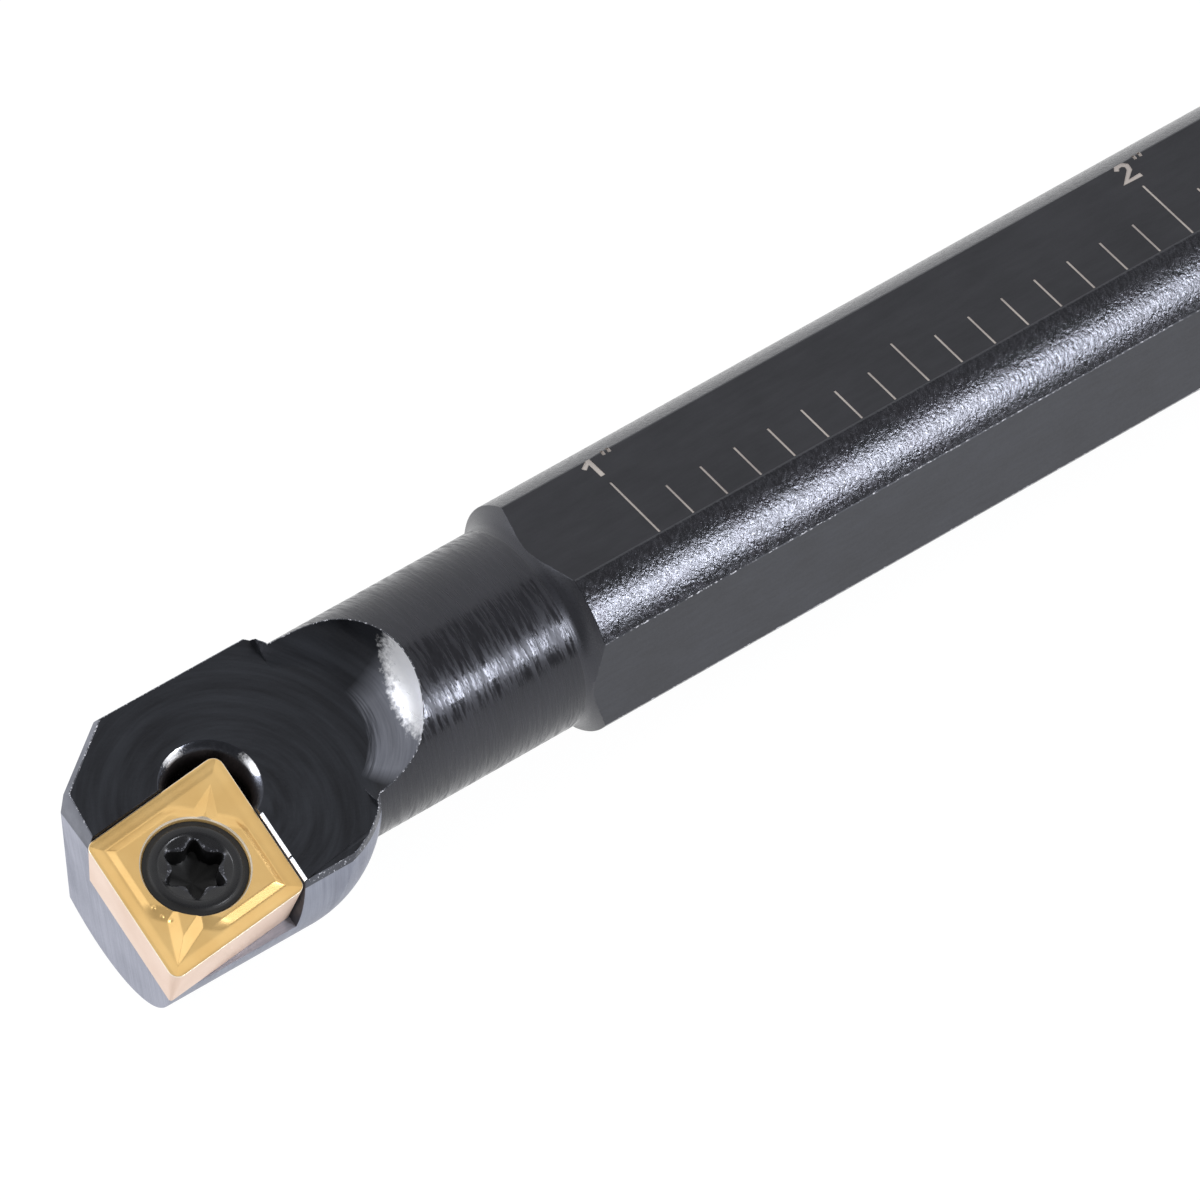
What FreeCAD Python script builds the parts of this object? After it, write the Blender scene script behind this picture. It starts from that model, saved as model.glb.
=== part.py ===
"""Indexable boring bar: a turned steel bar, a rhombic insert and its clamping screw.

Millimetres. The origin is the centre of the tail face, +X runs along the bar to the nose of
the insert, +Y is the cutting side and +Z is up, square to the flat that carries the ruler.
"""
import FreeCAD, Part
import Sketcher
import math
import os

doc = FreeCAD.newDocument("boring_bar")

# Lengths that differ by less than this count as the same
SAME = 0.001

# Driving dimensions, in millimetres and degrees
SIZES = (
    ("bar_length", 152.4),
    ("shank_dia", 9.525),
    ("flat_height", 4.19),
    ("side_flat_height", 4.18),
    ("tail_chamfer", 0.6),
    ("neck_dia", 8.3),
    ("neck_length", 21.2),
    ("shoulder_length", 0.75),
    ("head_length", 10.95),
    ("head_dia", 10.5),
    ("head_shift_side", 0.29),
    ("head_shift_down", 0.48),
    ("head_rear_round", 5.0),
    ("head_rear_round_start", 7.25),
    ("head_rear_round_shift", 1.0),
    ("head_rear_round_turn", 35.0),
    ("head_rear_chamfer", 0.5),
    ("nose_reach", 6.26),
    ("insert_tilt", 13.6),
    ("insert_lead", 3.9),
    ("insert_inscribed", 6.35),
    ("insert_angle", 80.0),
    ("insert_thickness", 2.38),
    ("insert_clearance", 7.0),
    ("insert_corner", 0.4),
    ("insert_hole", 2.8),
    ("sink_dia", 4.15),
    ("sink_angle", 60.0),
    ("breaker_land", 0.22),
    ("breaker_width", 0.95),
    ("breaker_depth", 0.13),
    ("breaker_slope", 55.0),
    ("head_flat_rise", 0.2),
    ("head_flat_length", 10.6),
    ("cutter_back", 9.5),
    ("cutter_side", 5.96),
    ("cutter_dia", 9.4),
    ("cutter_corner", 1.59),
    ("pocket_gap", 0.02),
    ("relief_dia", 3.9),
    ("relief_inset", 1.56),
    ("relief_depth", 0.4),
    ("front_setback", 0.1),
    ("front_clearance", 6.5),
    ("corner_back", 1.1),
    ("corner_side", 1.93),
    ("corner_up", 2.19),
    ("front_bevel_turn", 4.0),
    ("front_bevel_lean", 19.0),
    ("far_bevel_turn", 46.9),
    ("far_bevel_lean", 45.0),
    ("far_corner_turn", 55.0),
    ("far_corner_lean", 2.2),
    ("far_corner_land", 0.27),
    ("screw_dia", 2.5),
    ("screw_length", 6.0),
    ("screw_hole_gap", 0.03),
    ("screw_tip_chamfer", 0.3),
    ("screw_seat_gap", 0.01),
    ("screw_head_land", 0.25),
    ("screw_face_dia", 3.4),
    ("recess_dia", 1.84),
    ("recess_lobe_dia", 0.56),
    ("recess_over_lobes", 2.4),
    ("recess_depth", 1.1),
    ("recess_turn", 12.0),
    ("tool_room", 30.0),
)
sheet = doc.addObject("Spreadsheet::Sheet", "sizes")
for row, (alias, value) in enumerate(SIZES, start=1):
    sheet.set(f"A{row}", alias)
    sheet.set(f"B{row}", str(value))
    sheet.setAlias(f"B{row}", alias)
doc.recompute()

# Places that several features share, as expressions on the sheet
HALF_DIAGONAL = "sizes.insert_inscribed / 2 / sin(sizes.insert_angle / 2)"
HALF_WIDTH = "sizes.insert_inscribed / 2 / cos(sizes.insert_angle / 2)"
FLANK_FOOT = "sizes.insert_thickness * tan(sizes.insert_clearance)"
INSERT_TURN = "(90 - sizes.insert_lead - sizes.insert_angle / 2)"
X_TURN = "rotation(vector(1; 0; 0); {})"
Y_TURN = "rotation(vector(0; 1; 0); {})"
Z_TURN = "rotation(vector(0; 0; 1); {})"


def place(along, across, up, turn=Z_TURN.format(0)):
    """A placement as an expression: a shift, then a turn."""
    return f"placement(vector({along}; {across}; {up}); {turn})"


NOSE = place("sizes.bar_length", "sizes.nose_reach", "0", X_TURN.format("-sizes.insert_tilt"))
INSERT_CENTRE = " * ".join((
    NOSE,
    place("0", "0", "0", Z_TURN.format(INSERT_TURN)),
    place(f"-{HALF_DIAGONAL}", "0", "0"),
))


def new_body(name):
    """A body whose label names the piece."""
    body = doc.addObject("PartDesign::Body", name)
    body.Label = name
    return body


def new_sketch(body, name, plane, offset=None):
    """A sketch on one of the body's own planes, shifted by the offset expression."""
    sketch = body.newObject("Sketcher::SketchObject", name)
    support = next(item for item in body.Origin.OriginFeatures if item.Role == plane)
    sketch.AttachmentSupport = (support, "")
    sketch.MapMode = "FlatFace"
    if offset:
        sketch.setExpression("AttachmentOffset", offset)
    return sketch


def at(sketch, across, up):
    """The point that two expressions give."""
    return FreeCAD.Vector(
        float(sketch.evalExpression(across)), float(sketch.evalExpression(up)), 0)


def bind(sketch, kind, element, end, rule):
    """Hold a point of the sketch at an expression, measured from the sketch's origin."""
    value = float(sketch.evalExpression(rule))
    index = sketch.addConstraint(Sketcher.Constraint(kind, -1, 1, element, end, value))
    sketch.setExpression(f"Constraints[{index}]", rule)


def add_outline(sketch, corners, arc_centre=None):
    """A closed outline through corners that are pairs of expressions.

    With an arc centre, the last side is an arc that runs anticlockwise about it.
    """
    points = [at(sketch, across, up) for across, up in corners]
    count = len(points)
    first = sketch.GeometryCount
    arc = first + count - 1
    for index in range(count - 1 if arc_centre else count):
        sketch.addGeometry(Part.LineSegment(points[index], points[(index + 1) % count]), False)
    if arc_centre:
        centre = at(sketch, *arc_centre)
        circle = Part.Circle(centre, FreeCAD.Vector(0, 0, 1), (points[0] - centre).Length)
        from_angle, to_angle = (
            math.atan2(point.y - centre.y, point.x - centre.x) for point in (points[-1], points[0]))
        if to_angle < from_angle:
            to_angle += 2 * math.pi
        sketch.addGeometry(Part.ArcOfCircle(circle, from_angle, to_angle), False)
    for index in range(count):
        following = first + (index + 1) % count
        sketch.addConstraint(Sketcher.Constraint("Coincident", first + index, 2, following, 1))
    for index, (across, up) in enumerate(corners, start=first):
        bind(sketch, "DistanceX", index, 1, across)
        if not (arc_centre and index == arc):
            bind(sketch, "DistanceY", index, 1, up)
    if arc_centre:
        bind(sketch, "DistanceX", arc, 3, arc_centre[0])
        bind(sketch, "DistanceY", arc, 3, arc_centre[1])


def add_circle(sketch, across, up, radius):
    """A circle held at a centre and radius that are expressions."""
    size = float(sketch.evalExpression(radius))
    circle = Part.Circle(at(sketch, across, up), FreeCAD.Vector(0, 0, 1), size)
    element = sketch.addGeometry(circle, False)
    bind(sketch, "DistanceX", element, 3, across)
    bind(sketch, "DistanceY", element, 3, up)
    index = sketch.addConstraint(Sketcher.Constraint("Radius", element, size))
    sketch.setExpression(f"Constraints[{index}]", radius)


def add_feature(body, kind, name, profile=None, **rules):
    """A feature whose sizes are bound to expressions."""
    feature = body.newObject(kind, name)
    if profile:
        feature.Profile = profile
    for size, rule in rules.items():
        feature.setExpression(size, rule)
    return feature


def turn_about(feature, profile, axis):
    """Make a revolution or groove go the whole way round a sketch axis."""
    feature.ReferenceAxis = (profile, [axis])
    feature.Angle = 360.0


def cut_outside(body, name, placement):
    """Cut off all that lies beyond the plane through a placement, on its +X side."""
    box = add_feature(body, "PartDesign::SubtractiveBox", name)
    for side in ("Length", "Width", "Height"):
        box.setExpression(side, "sizes.tool_room")
    centred = place("0", "-sizes.tool_room / 2", "-sizes.tool_room / 2")
    box.setExpression("Placement", f"{placement} * {centred}")
    return box


def dress(body, kind, name, base, test, size, rule):
    """A fillet or chamfer on the edges of the base feature that pass a test."""
    doc.recompute()
    edges = [f"Edge{number}" for number, edge in enumerate(base.Shape.Edges, start=1) if test(edge)]
    if not edges:
        raise RuntimeError(f"{name} finds no edge")
    feature = body.newObject(kind, name)
    feature.Base = (base, edges)
    feature.setExpression(size, rule)
    return feature


# The bar: head blank first, then the turned shank and neck, then what is milled
HEAD_START = "sizes.bar_length - sizes.head_length"
SHANK_END = "sizes.bar_length - sizes.neck_length"
FLATS_END = f"{SHANK_END} + sizes.shoulder_length"


def make_head_blank(body):
    """The head's round blank, off the bar's axis, with its rear corner rounded off."""
    sketch = new_sketch(body, "head_circle", "YZ_Plane", place("0", "0", HEAD_START))
    add_circle(sketch, "sizes.head_shift_side", "-sizes.head_shift_down", "sizes.head_dia / 2")
    blank = add_feature(body, "PartDesign::Pad", "head_blank", sketch,
                        Length="sizes.head_length + sizes.nose_reach")

    start = float(sketch.evalExpression(HEAD_START))
    dress(body, "PartDesign::Chamfer", "head_rear_edge", blank,
          lambda edge: abs(edge.CenterOfMass.x - start) < SAME,
          "Size", "sizes.head_rear_chamfer")

    # The rear is rounded towards the cutting side: a round about an axis that is shifted away from it
    turn, shift = "sizes.head_rear_round_turn", "sizes.head_rear_round_shift"
    axis_side = f"sizes.head_shift_side - {shift} * cos({turn})"
    axis_up = f"-sizes.head_shift_down + {shift} * sin({turn})"
    sketch = new_sketch(body, "head_rear_profile", "XZ_Plane", place("0", axis_up, f"-({axis_side})"))
    radius = "sizes.head_rear_round"
    crest = ("sizes.bar_length - sizes.head_rear_round_start", f"sizes.head_dia / 2 + {shift}")
    centre = (crest[0], f"{crest[1]} - {radius}")
    back = f"({HEAD_START})"
    back_up = f"{centre[1]} + sqrt({radius} ^ 2 - ({crest[0]} - {back}) ^ 2)"
    add_outline(sketch, (
        (back, back_up), (back, "sizes.head_dia"), (crest[0], "sizes.head_dia"), crest), centre)
    turn_about(add_feature(body, "PartDesign::Groove", "head_rear_round", sketch), sketch, "H_Axis")


def make_turned_bar(body):
    """The shank, its shoulder and the neck, turned about the bar's axis."""
    sketch = new_sketch(body, "turned_profile", "XZ_Plane")
    shank, neck = "sizes.shank_dia / 2", "sizes.neck_dia / 2"
    inside_head = "sizes.bar_length - sizes.head_rear_round_start"
    add_outline(sketch, (
        ("0", "0"), ("0", f"{shank} - sizes.tail_chamfer"), ("sizes.tail_chamfer", shank),
        (SHANK_END, shank), (FLATS_END, neck), (inside_head, neck), (inside_head, "0")))
    turned = add_feature(body, "PartDesign::Revolution", "turned_bar", sketch)
    turn_about(turned, sketch, "H_Axis")


def make_shank_flats(body):
    """The ruler flat on top, the flat below it and the side flat."""
    room, top, side = "sizes.shank_dia", "sizes.flat_height", "sizes.side_flat_height"
    outlines = (
        ("top_flat", (("-" + room, top), (room, top), (room, room), ("-" + room, room))),
        ("bottom_flat",
         (("-" + room, "-" + top), (room, "-" + top), (room, "-" + room), ("-" + room, "-" + room))),
        ("side_flat", ((side, "-" + room), (room, "-" + room), (room, room), (side, room))),
    )
    for name, corners in outlines:
        sketch = new_sketch(body, f"{name}_section", "YZ_Plane")
        add_outline(sketch, corners)
        flat = add_feature(body, "PartDesign::Pocket", name, sketch, Length=FLATS_END)
        flat.Reversed = True


def make_head_flat(body):
    """The milled top of the head: a tilted plane that runs out in the wall of a bull-nose cutter."""
    level = f"{NOSE} * {place('0', '0', 'sizes.head_flat_rise')}"
    sketch = new_sketch(body, "head_flat_plan", "XY_Plane", level)
    front, back, room = "sizes.nose_reach", "-sizes.head_flat_length", "sizes.tool_room"
    add_outline(sketch, ((back, "-" + room), (front, "-" + room), (front, room), (back, room)))
    flat = add_feature(body, "PartDesign::Pocket", "head_flat", sketch, Length=room)
    flat.Reversed = True

    # The cutter's own outline, standing on the flat where it stopped
    stop = place("-sizes.cutter_back", "-sizes.cutter_side", "0", X_TURN.format("90"))
    sketch = new_sketch(body, "cutter_profile", "XY_Plane", f"{level} * {stop}")
    corner, radius = "sizes.cutter_corner", "sizes.cutter_dia / 2"
    add_outline(sketch, (
        (radius, corner), (radius, room), ("0", room), ("0", "0"), (f"{radius} - {corner}", "0")),
        (f"{radius} - {corner}", corner))
    turn_about(add_feature(body, "PartDesign::Groove", "cutter_run_out", sketch), sketch, "V_Axis")


def make_insert_pocket(body):
    """The pocket for the insert, with the drilled relief at its inner corner and the tapped hole."""
    on_flat = f"{INSERT_CENTRE} * {place('0', '0', 'sizes.head_flat_rise')}"
    depth = "(sizes.insert_thickness + sizes.head_flat_rise)"
    sketch = new_sketch(body, "pocket_plan", "XY_Plane", on_flat)
    # The pocket's walls lean out as the insert's flanks do, so they start wider at the flat
    spread = ("(sizes.pocket_gap + sizes.head_flat_rise * tan(sizes.insert_clearance))"
              " / sin(sizes.insert_angle / 2)")
    corner = f"-({HALF_DIAGONAL} + {spread})"
    reach = "1.4 * sizes.insert_inscribed"
    along = f"{corner} + {reach} * cos(sizes.insert_angle / 2)"
    across = f"{reach} * sin(sizes.insert_angle / 2)"
    far = f"{corner} + 2 * {reach} * cos(sizes.insert_angle / 2)"
    add_outline(sketch, ((corner, "0"), (along, f"-{across}"), (far, "0"), (along, across)))
    pocket = add_feature(body, "PartDesign::Pocket", "insert_pocket", sketch, Length=depth)
    pocket.setExpression("TaperAngle", "-sizes.insert_clearance")

    sketch = new_sketch(body, "relief_plan", "XY_Plane", on_flat)
    add_circle(sketch, f"sizes.relief_inset - {HALF_DIAGONAL}", "0", "sizes.relief_dia / 2")
    add_feature(body, "PartDesign::Pocket", "corner_relief", sketch,
                Length=f"{depth} + sizes.relief_depth")

    sketch = new_sketch(body, "screw_hole_plan", "XY_Plane", on_flat)
    add_circle(sketch, "0", "0", "sizes.screw_dia / 2 + sizes.screw_hole_gap")
    add_feature(body, "PartDesign::Pocket", "screw_hole", sketch, Length="sizes.tool_room")


def cut_head_end(body):
    """The relieved front face, the bevel of its top edge and the cut-off far corner."""
    under_edge = place("0", "0", "0", Z_TURN.format("-sizes.insert_lead"))
    foot = place(f"-({FLANK_FOOT} + sizes.front_setback)", "0", "-sizes.insert_thickness",
                 Y_TURN.format("sizes.front_clearance"))
    cut_outside(body, "front_face", f"{NOSE} * {under_edge} * {foot}")

    corner = place("sizes.bar_length - sizes.corner_back", "-sizes.corner_side", "sizes.corner_up")
    for name, land in (("front_bevel", "0"), ("far_bevel", "0"), ("far_corner", "sizes.far_corner_land")):
        turned = place("0", "0", "0", Z_TURN.format(f"-sizes.{name}_turn"))
        leaned = place("0", "0", "0", Y_TURN.format(f"-sizes.{name}_lean"))
        cut_outside(body, name, f"{corner} * {turned} * {leaned} * {place(land, '0', '0')}")


def make_bar():
    body = new_body("bar")
    make_head_blank(body)
    make_turned_bar(body)
    make_shank_flats(body)
    make_head_flat(body)
    make_insert_pocket(body)
    cut_head_end(body)
    return body


def make_insert():
    """The rhombic insert, drawn about its own centre with its top at zero."""
    body = new_body("insert")
    body.setExpression("Placement", INSERT_CENTRE)
    sketch = new_sketch(body, "insert_plan", "XY_Plane")
    add_rhombus(sketch, "0")
    blank = add_feature(body, "PartDesign::Pad", "insert_blank", sketch,
                        Length="sizes.insert_thickness")
    blank.Reversed = True
    blank.setExpression("TaperAngle", "-sizes.insert_clearance")
    dress(body, "PartDesign::Fillet", "insert_corners", blank, is_steep_edge,
          "Radius", "sizes.insert_corner")

    sketch = new_sketch(body, "breaker_plan", "XY_Plane")
    add_rhombus(sketch, "sizes.breaker_land")
    add_rhombus(sketch, "sizes.breaker_land + sizes.breaker_width")
    breaker = add_feature(body, "PartDesign::Pocket", "chip_breaker", sketch,
                          Length="sizes.breaker_depth")
    breaker.setExpression("TaperAngle", "-sizes.breaker_slope")

    sketch = new_sketch(body, "hole_profile", "XZ_Plane")
    sink, hole = "sizes.sink_dia / 2", "sizes.insert_hole / 2"
    neck = f"-({sink} - {hole}) / tan(sizes.sink_angle / 2)"
    below = "-2 * sizes.insert_thickness"
    add_outline(sketch, (("0", neck), ("0", "0"), (sink, "0"), (hole, neck), (hole, below), ("0", below)))
    turn_about(add_feature(body, "PartDesign::Groove", "insert_hole", sketch), sketch, "V_Axis")
    return body


def add_rhombus(sketch, inset):
    """The insert's outline, moved in by an expression."""
    along = f"{HALF_DIAGONAL} - ({inset}) / sin(sizes.insert_angle / 2)"
    across = f"{HALF_WIDTH} - ({inset}) / cos(sizes.insert_angle / 2)"
    add_outline(sketch, (
        (along, "0"), ("0", across), (f"-({along})", "0"), ("0", f"-({across})")))


def is_steep_edge(edge):
    """An edge that joins the top of the insert to its foot."""
    ends = [vertex.Point.z for vertex in edge.Vertexes]
    return abs(ends[0] - ends[-1]) > SAME


def make_screw():
    """The clamping screw, with its axis along Z and the top of its head at zero."""
    body = new_body("insert_screw")
    body.setExpression("Placement", INSERT_CENTRE)
    sketch = new_sketch(body, "screw_profile", "XZ_Plane")
    slope = "tan(sizes.sink_angle / 2)"
    # The head's cone runs parallel to the countersink, inside it by the seat gap
    rim = f"sizes.sink_dia / 2 - sizes.screw_seat_gap / cos(sizes.sink_angle / 2)"
    edge = f"{rim} - sizes.screw_head_land * {slope}"
    core = "sizes.screw_dia / 2"
    cone_foot = f"-({rim} - {core}) / {slope}"
    tip = "-sizes.screw_length"
    add_outline(sketch, (
        ("0", "0"), ("sizes.screw_face_dia / 2", "0"), (edge, "-sizes.screw_head_land"),
        (core, cone_foot), (core, f"{tip} + sizes.screw_tip_chamfer"),
        (f"{core} - sizes.screw_tip_chamfer", tip), ("0", tip)))
    turned = add_feature(body, "PartDesign::Revolution", "screw_blank", sketch)
    turn_about(turned, sketch, "V_Axis")

    sketch = new_sketch(body, "recess_core", "XY_Plane")
    add_circle(sketch, "0", "0", "sizes.recess_dia / 2")
    add_feature(body, "PartDesign::Pocket", "recess", sketch, Length="sizes.recess_depth")
    turned = place("0", "0", "0", Z_TURN.format("sizes.recess_turn"))
    sketch = new_sketch(body, "recess_lobe", "XY_Plane", turned)
    lobe = "sizes.recess_lobe_dia / 2"
    add_circle(sketch, f"sizes.recess_over_lobes / 2 - {lobe}", "0", lobe)
    cut = add_feature(body, "PartDesign::Pocket", "lobe", sketch, Length="sizes.recess_depth")
    lobes = body.newObject("PartDesign::PolarPattern", "lobes")
    lobes.Originals = [cut]
    lobes.Axis = (sketch, ["N_Axis"])
    lobes.Angle = 360.0
    lobes.Occurrences = 6
    body.Tip = lobes
    return body


pieces = [make_bar(), make_insert(), make_screw()]
doc.recompute()

for item in doc.Objects:
    if "Invalid" in item.State or "Error" in item.State:
        raise RuntimeError(f"{item.Name} failed: {item.State}")
os.makedirs("parts", exist_ok=True)
for piece in pieces:
    shape = piece.Shape
    if shape.isNull() or not shape.isValid() or len(shape.Solids) != 1:
        raise RuntimeError(f"{piece.Label} is not one valid solid")
    shape.exportStep(f"parts/{piece.Label}.step")
    print(piece.Label, round(shape.Volume, 3), "cubic millimetres")
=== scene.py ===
"""The looks of the boring bar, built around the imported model.

Shapes are drawn in millimetres in the model's own frame and scaled to metres at the end.
"""
import math

import bmesh
import bpy
from mathutils import Matrix, Vector


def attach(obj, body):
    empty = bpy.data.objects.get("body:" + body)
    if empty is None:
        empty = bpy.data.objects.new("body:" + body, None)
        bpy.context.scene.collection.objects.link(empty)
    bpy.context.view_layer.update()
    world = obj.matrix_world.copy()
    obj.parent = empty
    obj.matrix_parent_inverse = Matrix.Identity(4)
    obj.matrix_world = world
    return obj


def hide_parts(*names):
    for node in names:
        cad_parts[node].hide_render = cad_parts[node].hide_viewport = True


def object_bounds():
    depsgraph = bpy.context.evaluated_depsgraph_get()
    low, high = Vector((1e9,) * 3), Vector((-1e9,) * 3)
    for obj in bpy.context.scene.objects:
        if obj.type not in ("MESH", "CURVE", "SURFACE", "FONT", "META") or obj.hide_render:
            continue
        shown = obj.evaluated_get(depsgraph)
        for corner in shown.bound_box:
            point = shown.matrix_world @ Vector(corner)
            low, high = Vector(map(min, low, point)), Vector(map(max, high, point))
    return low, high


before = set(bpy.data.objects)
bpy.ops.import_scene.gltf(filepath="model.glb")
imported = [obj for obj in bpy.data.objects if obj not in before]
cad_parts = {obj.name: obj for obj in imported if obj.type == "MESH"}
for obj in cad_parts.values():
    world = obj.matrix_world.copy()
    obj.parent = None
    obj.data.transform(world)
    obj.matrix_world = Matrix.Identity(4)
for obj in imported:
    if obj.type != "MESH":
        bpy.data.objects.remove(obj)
cad_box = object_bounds()

MM = 0.001
TAU = 2 * math.pi

# The bar, in millimetres, as in the part's source
BAR_LENGTH = 152.4
SHANK_RADIUS = 4.7625
FLAT_HEIGHT = 4.19
SIDE_FLAT = 4.18
TAIL_CHAMFER = 0.6
NECK_RADIUS = 4.15
NECK_LENGTH = 21.2
SHOULDER_LENGTH = 0.75
HEAD_LENGTH = 10.95
SHANK_END = BAR_LENGTH - NECK_LENGTH
FLATS_END = SHANK_END + SHOULDER_LENGTH
HEAD_START = BAR_LENGTH - HEAD_LENGTH
HEAD_RADIUS = 5.25
HEAD_SIDE = 0.29
HEAD_UP = -0.48
HEAD_CHAMFER = 0.5
REAR_ROUND = 5.0
REAR_ROUND_X = BAR_LENGTH - 7.25
REAR_ROUND_SHIFT = 1.0
REAR_ROUND_TURN = 35.0
NOSE_REACH = 6.26
INSERT_TILT = 13.6
INSERT_LEAD = 3.9
HEAD_FLAT_RISE = 0.2
HEAD_FLAT_LENGTH = 10.6
CUTTER_BACK = 9.5
CUTTER_SIDE = 5.96
CUTTER_RADIUS = 4.7
CUTTER_CORNER = 1.59
POCKET_GAP = 0.02
RELIEF_INSET = 1.56
RELIEF_DEPTH = 0.4
SCREW_HOLE_RADIUS = 1.28
FRONT_SETBACK = 0.1
FRONT_CLEARANCE = 6.5
CORNER = (BAR_LENGTH - 1.1, -1.93, 2.19)
ROOM = 30.0

# The insert and its screw
INSERT_HALF = 3.175
INSERT_ANGLE = 80.0
INSERT_THICK = 2.38
INSERT_CLEARANCE = 7.0
INSERT_CORNER = 0.4
INSERT_HOLE = 1.4
SINK_RADIUS = 2.075
SINK_ANGLE = 60.0
SINK_SLOPE = math.tan(math.radians(SINK_ANGLE / 2))
HALF_DIAGONAL = INSERT_HALF / math.sin(math.radians(INSERT_ANGLE / 2))
FLANK_SLOPE = math.tan(math.radians(INSERT_CLEARANCE))


def shift(x, y, z):
    return Matrix.Translation((x, y, z))


def turn(axis, degrees):
    return Matrix.Rotation(math.radians(degrees), 4, axis)


NOSE = shift(BAR_LENGTH, NOSE_REACH, 0) @ turn("X", -INSERT_TILT)
ON_INSERT = NOSE @ turn("Z", 90 - INSERT_LEAD - INSERT_ANGLE / 2) @ shift(-HALF_DIAGONAL, 0, 0)
ON_FLAT = NOSE @ shift(0, 0, HEAD_FLAT_RISE)
ALONG_X = turn("Y", 90)


# Materials


def linear(red, green, blue):
    """A colour given as it looks on a screen, from 0 to 255."""
    levels = (level / 255 for level in (red, green, blue))
    return tuple(v / 12.92 if v <= 0.04045 else ((v + 0.055) / 1.055) ** 2.4 for v in levels) + (1.0,)


class Graph:
    """A material's node tree, built by short calls."""

    def __init__(self, name):
        self.material = bpy.data.materials.new(name)
        self.material.use_nodes = True
        self.tree = self.material.node_tree
        self.shader = self.tree.nodes["Principled BSDF"]
        self.where = self.tree.nodes.new("ShaderNodeTexCoord").outputs["Object"]

    def add(self, kind, inputs=(), **settings):
        node = self.tree.nodes.new("ShaderNode" + kind)
        for key, value in settings.items():
            setattr(node, key, value)
        for key, value in dict(inputs).items():
            self.put(node.inputs[key], value)
        return node

    def put(self, socket, value):
        if isinstance(value, bpy.types.NodeSocket):
            self.tree.links.new(value, socket)
        else:
            socket.default_value = value

    def math(self, operation, first, second=0.0, third=0.0):
        inputs = {0: first, 1: second, 2: third}
        return self.add("Math", inputs, operation=operation).outputs[0]

    def stretched(self, scales, at=None):
        """Coordinates in millimetres, times a scale for each axis."""
        node = self.add("Mapping", {"Vector": at or self.where})
        node.inputs["Scale"].default_value = [scale / (1.0 if at else MM) for scale in scales]
        return node.outputs["Vector"]

    def noise(self, scales, detail=2.0, rough=0.5, at=None):
        """Noise from 0 to 1 with so many features a millimetre along each axis."""
        inputs = {"Vector": self.stretched(scales, at), "Scale": 1.0, "Detail": detail, "Roughness": rough}
        return self.add("TexNoise", inputs).outputs["Fac"]

    def ramp(self, value, low, high, out_low=0.0, out_high=1.0):
        inputs = {"Value": value, "From Min": low, "From Max": high, "To Min": out_low, "To Max": out_high}
        return self.add("MapRange", inputs).outputs["Result"]

    def blend(self, amount, first, second):
        node = self.add("Mix", data_type="RGBA")
        self.put(node.inputs["Factor"], amount)
        self.put(node.inputs[6], first)
        self.put(node.inputs[7], second)
        return node.outputs[2]

    def bump(self, layers):
        """Height layers in millimetres, each a value and its height."""
        normal = None
        for value, height in layers:
            inputs = {"Height": value, "Distance": height * MM, "Strength": 1.0}
            if normal:
                inputs["Normal"] = normal
            normal = self.add("Bump", inputs).outputs["Normal"]
        self.put(self.shader.inputs["Normal"], normal)

    def polar(self, centre):
        """Millimetres from a frame's Z axis, and the angle round it from the frame's -X side."""
        inverse = centre.inverted()
        node = self.add("Mapping", {"Vector": self.where})
        node.inputs["Scale"].default_value = (1 / MM, 1 / MM, 1 / MM)
        node.inputs["Rotation"].default_value = inverse.to_euler("XYZ")
        node.inputs["Location"].default_value = inverse.translation
        parts = self.add("SeparateXYZ", {0: node.outputs["Vector"]}).outputs
        x = self.math("MULTIPLY", parts["X"], -1.0)
        y = self.math("MULTIPLY", parts["Y"], -1.0)
        squares = self.math("ADD", self.math("MULTIPLY", x, x), self.math("MULTIPLY", y, y))
        return self.math("SQRT", squares), self.math("ARCTAN2", y, x)

    def finish(self, **sockets):
        for key, value in sockets.items():
            self.put(self.shader.inputs[key.replace("_", " ")], value)
        return self.material


COOL_TINT = (0.88, 0.90, 1.0, 1.0)


def steel(name, dark, light, rough, metal=0.0, specular=0.56, fine=(14, 14, 14), grain=0.0012, streaks=(),
          bare=None):
    """Blackened or bare steel.

    Rough is one roughness, or a pair with the least and the greatest along the last streaks.
    Each streak layer is its features a millimetre along each axis, and its height in millimetres.
    Bare gives the colour of specks where the black has worn off, and their share.
    """
    graph = Graph(name)
    speck = graph.noise(fine, detail=3.0, rough=0.6)
    cloud = graph.noise((0.4, 0.4, 0.4), detail=3.0)
    layers, tone = [(speck, grain)], cloud
    for scales, height in streaks:
        marks = graph.noise(scales, detail=3.0, rough=0.6)
        layers.append((marks, height))
        tone = graph.math("MULTIPLY_ADD", marks, 0.5, graph.math("MULTIPLY", tone, 0.5))
    colour = graph.blend(graph.ramp(tone, 0.35, 0.65), dark, light)
    if bare:
        worn, share = bare
        spots = graph.ramp(graph.noise((9, 9, 9), detail=4.0, rough=0.7), 1 - share, 1.04 - share)
        colour = graph.blend(spots, colour, worn)
    graph.bump(layers)
    if isinstance(rough, tuple):
        roughness = graph.ramp(marks, 0.40, 0.60, *rough)
    else:
        roughness = graph.ramp(speck, 0.3, 0.7, rough - 0.05, rough + 0.07)
    return graph.finish(Base_Color=colour, Roughness=roughness, Metallic=metal, Specular_IOR_Level=specular,
                        Specular_Tint=COOL_TINT)


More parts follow.
